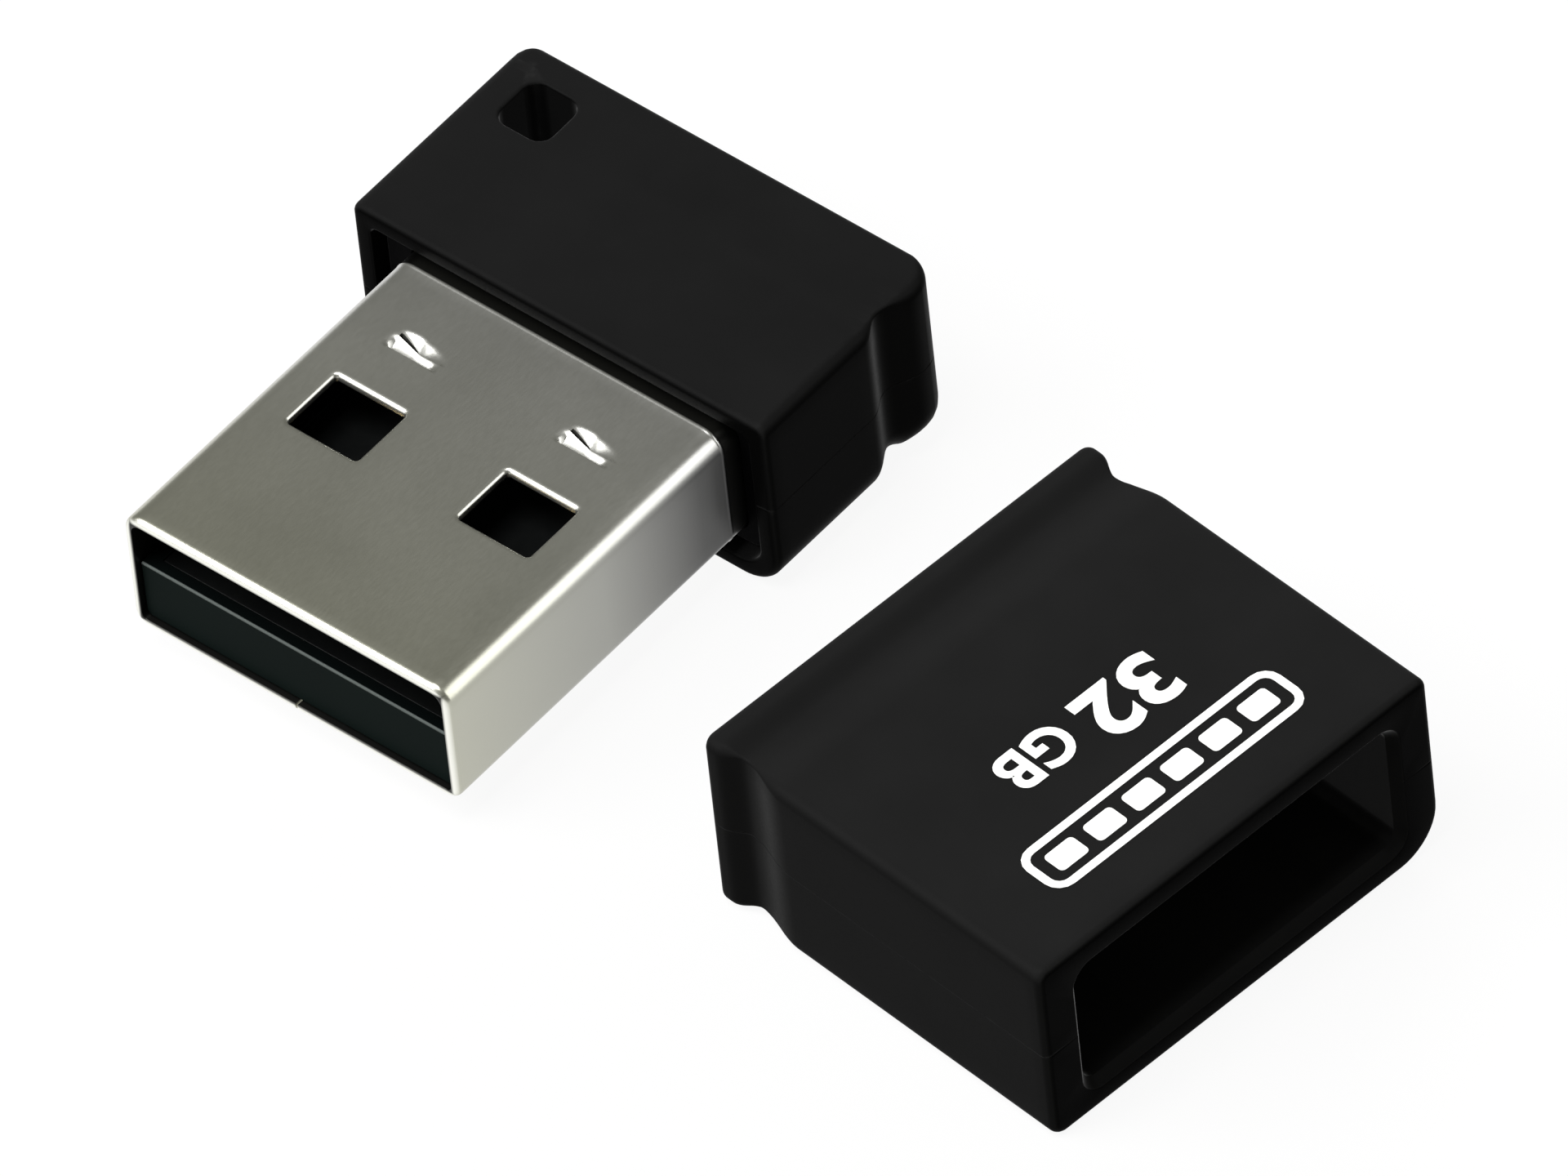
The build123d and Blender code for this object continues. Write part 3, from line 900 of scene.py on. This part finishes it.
def ranged(tree, value, low, high, start=0.3, stop=0.7):
    """Carries a value from the range start to stop over to the range low to high."""
    inputs = {"Value": value, "From Min": start, "From Max": stop, "To Min": low, "To Max": high}
    return node(tree, "ShaderNodeMapRange", inputs).outputs[0]


def maths(tree, operation, *values):
    inputs = dict(enumerate(values))
    return node(tree, "ShaderNodeMath", inputs, operation=operation).outputs[0]


def mixed(tree, fac, colour_a, colour_b, blend="MIX"):
    """Mix of two colours. Either may be a socket or a plain colour."""
    mix = node(tree, "ShaderNodeMix", data_type="RGBA", blend_type=blend)
    for key, value in (("Factor", fac), ("A", colour_a), ("B", colour_b)):
        if isinstance(value, bpy.types.NodeSocket):
            tree.links.new(value, mix.inputs[key])
        elif isinstance(value, tuple):
            mix.inputs[key].default_value = (*value, 1.0)
        else:
            mix.inputs[key].default_value = value
    return mix.outputs["Result"]


def parts_of(tree, vector):
    """The three parts of a vector."""
    return node(tree, "ShaderNodeSeparateXYZ", {0: vector}).outputs


def facing_of(tree):
    """The three parts of the direction that a face looks in."""
    return parts_of(tree, node(tree, "ShaderNodeTexCoord").outputs["Normal"])


def varied(tree, colour, share, value):
    """Colour that swings by a share of itself with a value from 0.3 to 0.7."""
    low = tuple(part * (1 - share) for part in colour)
    high = tuple(min(part * (1 + share), 1.0) for part in colour)
    return mixed(tree, ranged(tree, value, 0.0, 1.0), low, high)


def surface(name, colour, facts):
    """Procedural material: varied colour and roughness, and a fine bump."""
    material = bpy.data.materials.new(name)
    material.use_nodes = True
    tree = material.node_tree
    tree.nodes.clear()
    output = node(tree, "ShaderNodeOutputMaterial")
    shader = node(tree, "ShaderNodeBsdfPrincipled")
    tree.links.new(shader.outputs[0], output.inputs["Surface"])
    where = node(tree, "ShaderNodeTexCoord").outputs["Object"]
    broad = noise(tree, where, facts.get("patch", 3.0), 3.0)
    grain = noise(tree, where, facts["grain"], 3.0, facts.get("stretch", (1.0, 1.0, 1.0)))
    base = varied(tree, colour, facts.get("swing", 0.08), broad)
    # Lighter edges: wear and a painted highlight.
    if "wear_and_sheen" in facts:
        base = edge_wear_and_sheen(tree, base, facts["wear_and_sheen"], where)
    # Painted shade: faces turned one way, the shadow side, take a darker colour.
    for axis, sign, shaded in facts.get("faces", ()):
        base = painted_shade_by_facing(tree, base, axis, sign, shaded)
    # Plating tone of the plug, with painted shade and a painted highlight.
    if "plug" in facts:
        base = plug_tone_and_painted_light(tree, base, facts["plug"], where)
    # Painted shade on the tongue's top and a painted highlight line on its front edge.
    if "tongue" in facts:
        base = tongue_shade_and_highlight(tree, base, facts["tongue"], where)
    tree.links.new(base, shader.inputs["Base Color"])
    low, high = facts["rough"]
    half = maths(tree, "MULTIPLY", maths(tree, "ADD", broad, grain), 0.5)
    tree.links.new(ranged(tree, half, low, high, 0.35, 0.65), shader.inputs["Roughness"])
    inputs = {"Height": grain, "Strength": facts["bump"], "Distance": facts["depth"] * MM}
    tree.links.new(node(tree, "ShaderNodeBump", inputs).outputs[0], shader.inputs["Normal"])
    shader.inputs["Metallic"].default_value = facts.get("metal", 0.0)
    shader.inputs["Specular IOR Level"].default_value = facts.get("specular", 0.5)
    if "glow" in facts:
        shader.inputs["Emission Color"].default_value = (1.0, 1.0, 1.0, 1.0)
        shader.inputs["Emission Strength"].default_value = facts["glow"]
    return material


def edge_wear_and_sheen(tree, base, wear_and_sheen, where):
    """Lightens edges a little, unevenly: edge wear and a painted highlight."""
    colour, amount = wear_and_sheen
    edge = node(tree, "ShaderNodeNewGeometry").outputs["Pointiness"]
    edge = ranged(tree, edge, 0.0, amount, 0.52, 0.60)
    broken = ranged(tree, noise(tree, where, 0.5, 4.0), 0.2, 1.0, 0.4, 0.65)
    return mixed(tree, maths(tree, "MULTIPLY", edge, broken), base, colour)


def painted_shade_by_facing(tree, base, axis, sign, colour):
    """Painted shade: faces that look along one way of an axis take another, darker colour."""
    towards = maths(tree, "MULTIPLY", facing_of(tree)[axis], sign)
    return mixed(tree, ranged(tree, towards, 0.0, 1.0, 0.7, 0.95), base, colour)


def plug_tone_and_painted_light(tree, base, tint, where):
    """Plating tone from tip to body, painted shade on sides and inside, painted highlight on faces to the
    tip.
    """
    x, y, z = parts_of(tree, where)
    facing = facing_of(tree)
    rear = ranged(tree, y, 0.0, 1.0, PLUG_LOW[1] * MM, BODY_FRONT * MM)
    base = mixed(tree, 1.0, base, mixed(tree, rear, tint["tip"], tint["rear"]), "MULTIPLY")
    # Painted shade on the sides, stronger towards the body.
    sideways = ranged(tree, maths(tree, "ABSOLUTE", facing[0]), 0.0, 1.0, 0.75, 0.98)
    side_shade_share = ranged(tree, rear, *tint["side"], 0.0, 1.0)
    side_shade_share = maths(tree, "ADD", side_shade_share, ranged(tree, rear, 0.0, tint["last"], 0.55, 0.9))
    base = mixed(tree, maths(tree, "MULTIPLY", sideways, side_shade_share), base, tint["side_shade"])
    # Painted highlight: faces towards the tip take a brighter colour.
    base = mixed(tree, ranged(tree, facing[1], 0.0, 1.0, -0.5, -0.95), base, tint["cut"])
    # Painted shade inside the sheet and behind the body's front, in its opening.
    from_side = maths(tree, "SUBTRACT", PLUG_HIGH[0] * MM, maths(tree, "ABSOLUTE", x))
    from_top = maths(tree, "SUBTRACT", PLUG_HIGH[2] * MM, z)
    from_base = maths(tree, "SUBTRACT", z, PLUG_LOW[2] * MM)
    depth = maths(tree, "MINIMUM", from_side, maths(tree, "MINIMUM", from_top, from_base))
    inside = ranged(tree, depth, 0.0, 1.0, 0.2 * MM, 0.29 * MM)
    recess_shade = ranged(tree, y, 0.0, 1.0, (BODY_FRONT - 0.05) * MM, BODY_FRONT * MM)
    return mixed(tree, maths(tree, "MAXIMUM", inside, recess_shade), base, tint["inside"])


def tongue_shade_and_highlight(tree, base, tint, where):
    """Painted highlight along the leading top edge, and painted shade on the upward contact side."""
    y, z = parts_of(tree, where)[1:]
    base = mixed(tree, ranged(tree, facing_of(tree)[2], 0.0, 1.0, 0.8, 0.98), base, tint["top"])
    high = ranged(tree, z, 0.0, 1.0, (TONGUE_TOP - 0.075) * MM, (TONGUE_TOP - 0.045) * MM)
    ahead = ranged(tree, y, 1.0, 0.0, (TONGUE_FRONT + 0.045) * MM, (TONGUE_FRONT + 0.075) * MM)
    return mixed(tree, maths(tree, "MULTIPLY", high, ahead), base, tint["edge"])


def grey(value):
    return (value, value, value)


def look(grain, rough, bump, depth, **more):
    """Grain's size, range of roughness, bump's strength and depth. Sizes are in millimetres.

    more may hold the patches' size, the colour's swing, lighter edges (wear and a painted highlight) as a
    colour and an amount, and faces with painted shade as axes, signs and colours.
    """
    return {"grain": grain, "rough": rough, "bump": bump, "depth": depth, **more}


MOULDED = look(0.09, (0.32, 0.42), 0.3, 0.005, patch=4.0, specular=0.006)
# tip and rear are the plating's tone. The other entries paint light: shade on the sides that grows towards
# the body, a highlight on faces towards the tip (cut), and shade inside the sheet and within the body's
# opening (inside).
PLUG_TONE_AND_PAINTED_LIGHT = {
    "tip": (0.91, 0.91, 0.85),
    "rear": (0.99, 0.99, 1.06),
    "side": (0.10, 0.66),
    "last": 0.30,
    "side_shade": grey(0.02),
    "cut": (0.94, 0.94, 0.87),
    "inside": (0.03, 0.03, 0.028),
}
# top is painted shade on the tongue's upward faces; edge is a painted highlight along its front top edge.
TONGUE_SHADE_AND_HIGHLIGHT = {"top": (0.002, 0.003, 0.003), "edge": (0.11, 0.125, 0.12)}
ALONG_PLUG, ALONG_CONTACT, ALONG_CAN = (1.0, 5.0, 1.0), (1.0, 14.0, 1.0), (12.0, 1.0, 1.0)
LOOKS = {
    "housing_plastic": ((0.0092, 0.0092, 0.0093), {
        **MOULDED,
        # Lighter edges here are wear and a painted highlight.
        "wear_and_sheen": (grey(0.032), 0.45),
        # faces: painted shade, darker faces towards -Y (the front) and +X (the right side).
        "faces": ((1, -1.0, grey(0.0014)), (0, 1.0, grey(0.0038))),
    }),
    "cap_plastic": ((0.0112, 0.0112, 0.0113), {
        **MOULDED,
        # Lighter edges here are wear and a painted highlight.
        "wear_and_sheen": (grey(0.036), 0.45),
        # faces: painted shade, darker faces towards -Y and towards +X, where the mouth looks.
        "faces": ((1, -1.0, (0.0078, 0.0078, 0.0079)), (0, 1.0, grey(0.0018))),
    }),
    # Black plastic, made darker than the housing as painted shade for the recess it sits in.
    "collar_plastic": ((0.002, 0.002, 0.0022), look(0.12, (0.5, 0.6), 0.4, 0.006, specular=0.006)),
    "plug_steel": ((0.60, 0.60, 0.545), look(
        0.06, (0.29, 0.34), 0.15, 0.0008,
        stretch=ALONG_PLUG, metal=0.96, swing=0.02, patch=5.0, plug=PLUG_TONE_AND_PAINTED_LIGHT,
    )),
    "tongue_plastic": ((0.006, 0.010, 0.0092), look(
        0.1, (0.35, 0.45), 0.3, 0.004, specular=0.008, tongue=TONGUE_SHADE_AND_HIGHLIGHT,
    )),
    "contact_gold": ((0.83, 0.62, 0.28), look(
        0.05, (0.2, 0.32), 0.25, 0.0015, stretch=ALONG_CONTACT, metal=1.0,
    )),
    "board_laminate": ((0.004, 0.0045, 0.0045), look(
        0.25, (0.35, 0.5), 0.4, 0.008, swing=0.15, specular=0.1,
    )),
    "chip_epoxy": ((0.022, 0.022, 0.024), look(0.06, (0.5, 0.62), 0.6, 0.006)),
    "solder": (grey(0.70), look(0.3, (0.25, 0.42), 0.4, 0.02, metal=1.0, swing=0.1)),
    "crystal_can": ((0.68, 0.67, 0.62), look(
        0.05, (0.22, 0.34), 0.3, 0.002, stretch=ALONG_CAN, metal=1.0,
    )),
    "capacitor_ceramic": ((0.46, 0.33, 0.20), look(0.05, (0.4, 0.55), 0.4, 0.004, swing=0.12)),
    "resistor_body": ((0.05, 0.05, 0.055), look(0.05, (0.35, 0.5), 0.4, 0.004)),
    "spacer_plastic": ((0.55, 0.55, 0.53), look(0.15, (0.45, 0.6), 0.4, 0.008)),
    "print_ink": ((0.88, 0.88, 0.87), look(0.05, (0.45, 0.6), 0.4, 0.003, swing=0.03)),
}
materials = {slot: surface(slot, colour, facts) for slot, (colour, facts) in LOOKS.items()}
slot_of = {part["node"]: part["material_slot"] for part in frame["record"]["subparts"]}


# -------- pieces
# New shells: name, maker, whether it is the upper half, body, CAD node that it replaces, and plastic.
SHELLS = (
    ("body_top_shell", housing_half, True, "drive", "upper_housing", "housing_plastic"),
    ("body_base_shell", housing_half, False, "drive", "lower_housing", "housing_plastic"),
    ("cap_top_shell", cap_half, True, "cap", "cap_upper_shell", "cap_plastic"),
    ("cap_base_shell", cap_half, False, "cap", "cap_lower_shell", "cap_plastic"),
)

# Print on the cap, in the cap's frame. A box is (x, x, y, y).
NUMBER_BOX, NUMBER_WEIGHT = (-2.95, 0.0, -6.75, -4.68), 0.03
UNIT_BOX, UNIT_WEIGHT = (0.6, 3.05, -6.75, -5.2), 0.025
GAUGE_BOX, GAUGE_RADIUS, GAUGE_LINE = (-4.9, 5.0, -3.7, -1.8), 0.6, 0.26
GAUGE_CELLS, CELL_PITCH, CELL_RADIUS = 6, 1.5, 0.15
CELL_BOX = (-4.25, -3.15, -3.15, -2.35)

# CAD nodes that stay, with the width of their bevels.
BEVELS = {
    "plug_collar": 0.05, "contact_carrier": 0.06,
    "contact_power": 0.03, "contact_data_minus": 0.03, "contact_data_plus": 0.03, "contact_ground": 0.03,
    "circuit_board": 0.03, "memory_chip": 0.05, "memory_solder_balls": 0.03, "controller_chip": 0.05,
    "crystal": 0.1, "capacitors": 0.05, "resistors": 0.04, "shell_solder": 0.05, "rear_spacer": 0.1,
}


def dressed_cad_node(name, bevel):
    """Material, clean faces and fine bevels for a CAD node that stays."""
    shown = frame["nodes"][name]
    shown.data.materials.clear()
    shown.data.materials.append(materials[slot_of[name]])
    weld = shown.modifiers.new("weld", "WELD")
    weld.merge_threshold = 0.0005 * MM
    flat = shown.modifiers.new("flat_faces", "DECIMATE")
    flat.decimate_type = "DISSOLVE"
    flat.angle_limit = math.radians(2)
    edges = shown.modifiers.new("edge_bevel", "BEVEL")
    edges.width = bevel * MM
    edges.segments = 3
    edges.limit_method = "ANGLE"
    edges.angle_limit = SHARP
    smoothed(shown)


def lettering(text, box, weight):
    """Flat outline of characters in Blender's own font, fitted into a box."""
    curve = bpy.data.curves.new("characters", "FONT")
    curve.body = text
    curve.size = 1.0
    curve.offset = weight
    curve.resolution_u = 6
    holder = bpy.data.objects.new("characters", curve)
    bpy.context.scene.collection.objects.link(holder)
    graph = bpy.context.evaluated_depsgraph_get()
    flat = bpy.data.meshes.new_from_object(holder.evaluated_get(graph))
    bpy.data.objects.remove(holder)
    bpy.data.curves.remove(curve)
    bm = bmesh.new()
    bm.from_mesh(flat)
    bpy.data.meshes.remove(flat)
    bmesh.ops.remove_doubles(bm, verts=bm.verts[:], dist=1e-5)
    spots = np.array([vertex.co for vertex in bm.verts])
    low, high = spots.min(0), spots.max(0)
    for vertex in bm.verts:
        shares = [(vertex.co[axis] - low[axis]) / (high[axis] - low[axis]) for axis in (0, 1)]
        vertex.co = (
            box[0] + shares[0] * (box[1] - box[0]),
            box[2] + shares[1] * (box[3] - box[2]),
            0.0,
        )
    return bm


def rounded_bar(bm, box, radius, frame_width=0.0):
    """Flat rounded rectangle, or a frame of that width."""
    centre = ((box[0] + box[1]) / 2, (box[2] + box[3]) / 2)
    half = ((box[1] - box[0]) / 2, (box[3] - box[2]) / 2)
    outer = rounded_outline(centre, half, radius, (8, 8))
    edge = [bm.verts.new((x, y, 0.0)) for x, y, _, _ in outer]
    if not frame_width:
        bm.faces.new(edge)
        return
    inner_half = tuple(size - frame_width for size in half)
    inner = rounded_outline(centre, inner_half, max(radius - frame_width, 0.05), (8, 8))
    joined(bm, [edge, [bm.verts.new((x, y, 0.0)) for x, y, _, _ in inner]])


def gauge():
    """Row of cells in a rounded frame."""
    bm = bmesh.new()
    rounded_bar(bm, GAUGE_BOX, GAUGE_RADIUS, GAUGE_LINE)
    for index in range(GAUGE_CELLS):
        shift = index * CELL_PITCH
        box = (CELL_BOX[0] + shift, CELL_BOX[1] + shift, CELL_BOX[2], CELL_BOX[3])
        rounded_bar(bm, box, CELL_RADIUS)
    return bm


def ink(name, bm):
    """Raises flat shapes to a thin layer of ink on the cap's top."""
    base = HEIGHT - 2 * INK
    raised = bmesh.ops.extrude_face_region(bm, geom=bm.faces[:])
    lifted = {part for part in raised["geom"] if isinstance(part, bmesh.types.BMVert)}
    for vertex in bm.verts:
        vertex.co = at_cap(vertex.co.x, vertex.co.y, HEIGHT if vertex in lifted else base)
    bmesh.ops.recalc_face_normals(bm, faces=bm.faces[:])
    finished(name, bm, "cap", [], materials["print_ink"])


for name, half, upper, body, replaced, plastic in SHELLS:
    shell = finished(name, half(upper), body, [replaced], materials[plastic])
    shell.visible_glossy = False
finished("plug_sheet", plug_sheet(), "drive", ["plug_shell"], materials["plug_steel"])
ink("print_number", lettering("32", NUMBER_BOX, NUMBER_WEIGHT))
ink("print_unit", lettering("GB", UNIT_BOX, UNIT_WEIGHT))
ink("print_gauge", gauge())
for name, bevel in BEVELS.items():
    dressed_cad_node(name, bevel)


# -------- stage, light and camera
CENTRE = Vector((8.0, -8.0, 3.0)) * MM
VIEW_AZIMUTH, VIEW_ELEVATION, VIEW_ROLL = -45.599, 47.342, -6.496
VIEW_DISTANCE, VIEW_SLIDE = 1.1464, (2.5988, 0.8327)
SENSOR_WIDTH, LENS, CLIP = 36.0, 937.5, (0.05, 20.0)

# Lights: name, azimuth, elevation, size, radiance, seen in reflections, lights matt surfaces.
LIGHT_DISTANCE = 0.6
LIGHTS = (
    ("key_light", 230, 46, (0.38, 0.32), 8.0, True, True),
    ("front_light", 240, 17, (0.30, 0.22), 2.5, True, False),
    ("edge_light", 33, 23, (0.38, 0.50), 2.5, True, False),
    ("side_fill", 33, 23, (0.38, 0.50), 0.3, False, True),
    ("top_light", 262, 76, (0.24, 0.24), 13.0, True, True),
    ("back_fill", 135, 10, (0.50, 0.20), 17.0, False, True),
)
WORLD = {"Color": (1.0, 1.0, 0.88, 1.0), "Strength": 0.17}
FLOOR_HALF, FLOOR_COLOUR = 0.8, grey(0.06)
FLOOR_LOOK = look(1.5, (0.8, 0.9), 0.1, 0.01, patch=60.0, swing=0.01, specular=0.0, glow=0.92)


def direction(azimuth, elevation):
    """Unit vector from angles in degrees. Azimuth runs from +X towards +Y."""
    turn, rise = math.radians(azimuth), math.radians(elevation)
    return Vector((math.cos(rise) * math.cos(turn), math.cos(rise) * math.sin(turn), math.sin(rise)))


def place_camera():
    out = direction(VIEW_AZIMUTH, VIEW_ELEVATION)
    level = Vector((0, 0, 1)).cross(out).normalized()
    lifted = out.cross(level)
    cosine, sine = circle_point(1.0, VIEW_ROLL)
    right = cosine * level + sine * lifted
    up = -sine * level + cosine * lifted
    spot = CENTRE + (VIEW_SLIDE[0] * right + VIEW_SLIDE[1] * up) * MM + VIEW_DISTANCE * out
    data = bpy.data.cameras.new("camera")
    data.sensor_width = SENSOR_WIDTH
    data.lens = LENS
    data.clip_start, data.clip_end = CLIP
    camera = bpy.data.objects.new("camera", data)
    camera.matrix_world = Matrix.Translation(spot) @ Matrix((right, up, out)).transposed().to_4x4()
    bpy.context.scene.collection.objects.link(camera)
    bpy.context.scene.camera = camera


def softbox(name, azimuth, elevation, size, radiance, mirrored, diffuse):
    """Area light that faces the object from a direction."""
    out = direction(azimuth, elevation)
    data = bpy.data.lights.new(name, "AREA")
    data.shape = "RECTANGLE"
    data.size, data.size_y = size
    data.energy = radiance * math.pi * size[0] * size[1]
    lamp = bpy.data.objects.new(name, data)
    lamp.visible_glossy = mirrored
    lamp.visible_diffuse = diffuse
    lamp.location = CENTRE + out * LIGHT_DISTANCE
    lamp.rotation_euler = out.to_track_quat("Z", "Y").to_euler()
    bpy.context.scene.collection.objects.link(lamp)


def place_floor():
    bm = bmesh.new()
    corners = ((-1, -1), (1, -1), (1, 1), (-1, 1))
    bm.faces.new([bm.verts.new((x * FLOOR_HALF, y * FLOOR_HALF, 0.0)) for x, y in corners])
    mesh = bpy.data.meshes.new("floor")
    bm.to_mesh(mesh)
    bm.free()
    floor = bpy.data.objects.new("floor", mesh)
    bpy.context.scene.collection.objects.link(floor)
    mesh.materials.append(surface("floor_paint", FLOOR_COLOUR, FLOOR_LOOK))
    floor.visible_diffuse = False


def place_world():
    world = bpy.data.worlds.new("studio")
    world.use_nodes = True
    tree = world.node_tree
    tree.nodes.clear()
    output = node(tree, "ShaderNodeOutputWorld")
    back = node(tree, "ShaderNodeBackground", WORLD)
    tree.links.new(back.outputs[0], output.inputs["Surface"])
    bpy.context.scene.world = world


place_camera()
place_world()
place_floor()
for light in LIGHTS:
    softbox(*light)

bpy.context.scene.view_settings.view_transform = "Standard"
